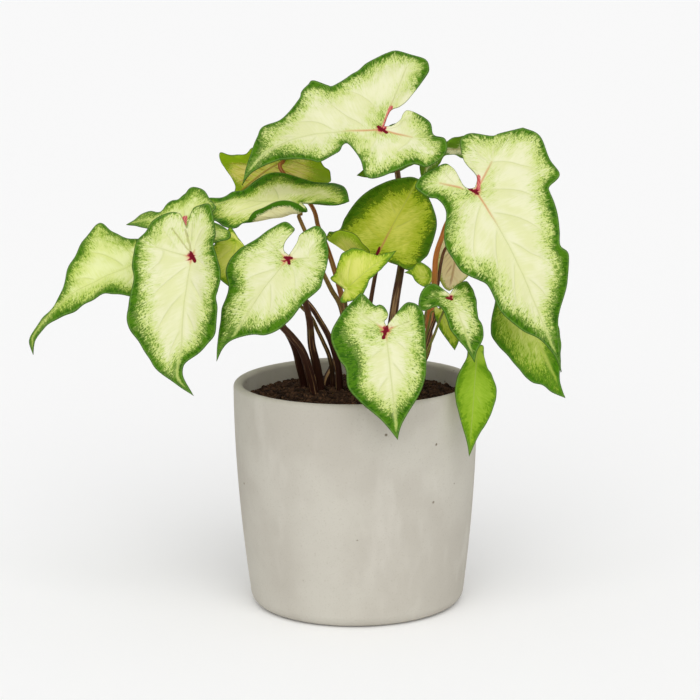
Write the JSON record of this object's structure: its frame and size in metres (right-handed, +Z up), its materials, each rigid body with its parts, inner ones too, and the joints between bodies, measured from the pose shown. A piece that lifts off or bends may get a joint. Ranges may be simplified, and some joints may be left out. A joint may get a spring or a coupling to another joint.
{
  "type": "potted caladium plant",
  "caption": "Caladium house plant with waved heart-shaped leaves on slender stalks, growing from soil in a round tapered concrete pot.",
  "frame": {"origin": "centre of the pot's flat underside", "axes": "+Z up along the pot's axis, -Y towards the front, where most leaves face, +X to the front's right"},
  "size_m": [0.3705, 0.2014, 0.3838],
  "materials": {
    "concrete": null,
    "soil": null,
    "petiole": "satin brown-purple plant stalk with lighter streaks, reddish near the blade; matte plastic stands in for plant tissue",
    "leaf": "satin, thin leaf: cream to lime centre with green speckled margin, pink spot at the stalk; matte plastic stands in for plant tissue",
    "leaf_lime": "satin, thin leaf, lime green with a paler midrib and a thin greener margin; matte plastic stands in for plant tissue"
  },
  "bodies": {
    "root": {"pot": "concrete", "soil": "soil", "petiole_top": "petiole", "petiole_right": "petiole", "petiole_front": "petiole", "petiole_left_center": "petiole", "petiole_left": "petiole", "petiole_far_left": "petiole", "petiole_left_back": "petiole", "petiole_center": "petiole", "petiole_small": "petiole", "petiole_right_back": "petiole", "petiole_long": "petiole", "petiole_back": "petiole", "petiole_right_under": "petiole", "petiole_left_inner": "petiole", "petiole_tiny": "petiole", "petiole_small_right": "petiole", "petiole_small_hanging": "petiole", "petiole_lance": "petiole", "petiole_back_tip": "petiole", "petiole_rear_right": "petiole", "leaf_top": "leaf", "leaf_right": "leaf", "leaf_front": "leaf", "leaf_left_center": "leaf", "leaf_left": "leaf", "leaf_far_left": "leaf", "leaf_left_back": "leaf", "leaf_center": "leaf_lime", "leaf_small": "leaf_lime", "leaf_right_back": "leaf", "leaf_long": "leaf", "leaf_back": "leaf", "leaf_right_under": "leaf", "leaf_left_inner": "leaf_lime", "leaf_tiny": "leaf_lime", "leaf_small_right": "leaf", "leaf_small_hanging": "leaf", "leaf_lance": "leaf_lime", "leaf_back_tip": "leaf", "leaf_rear_right": "leaf"}
  },
  "joints": []
}
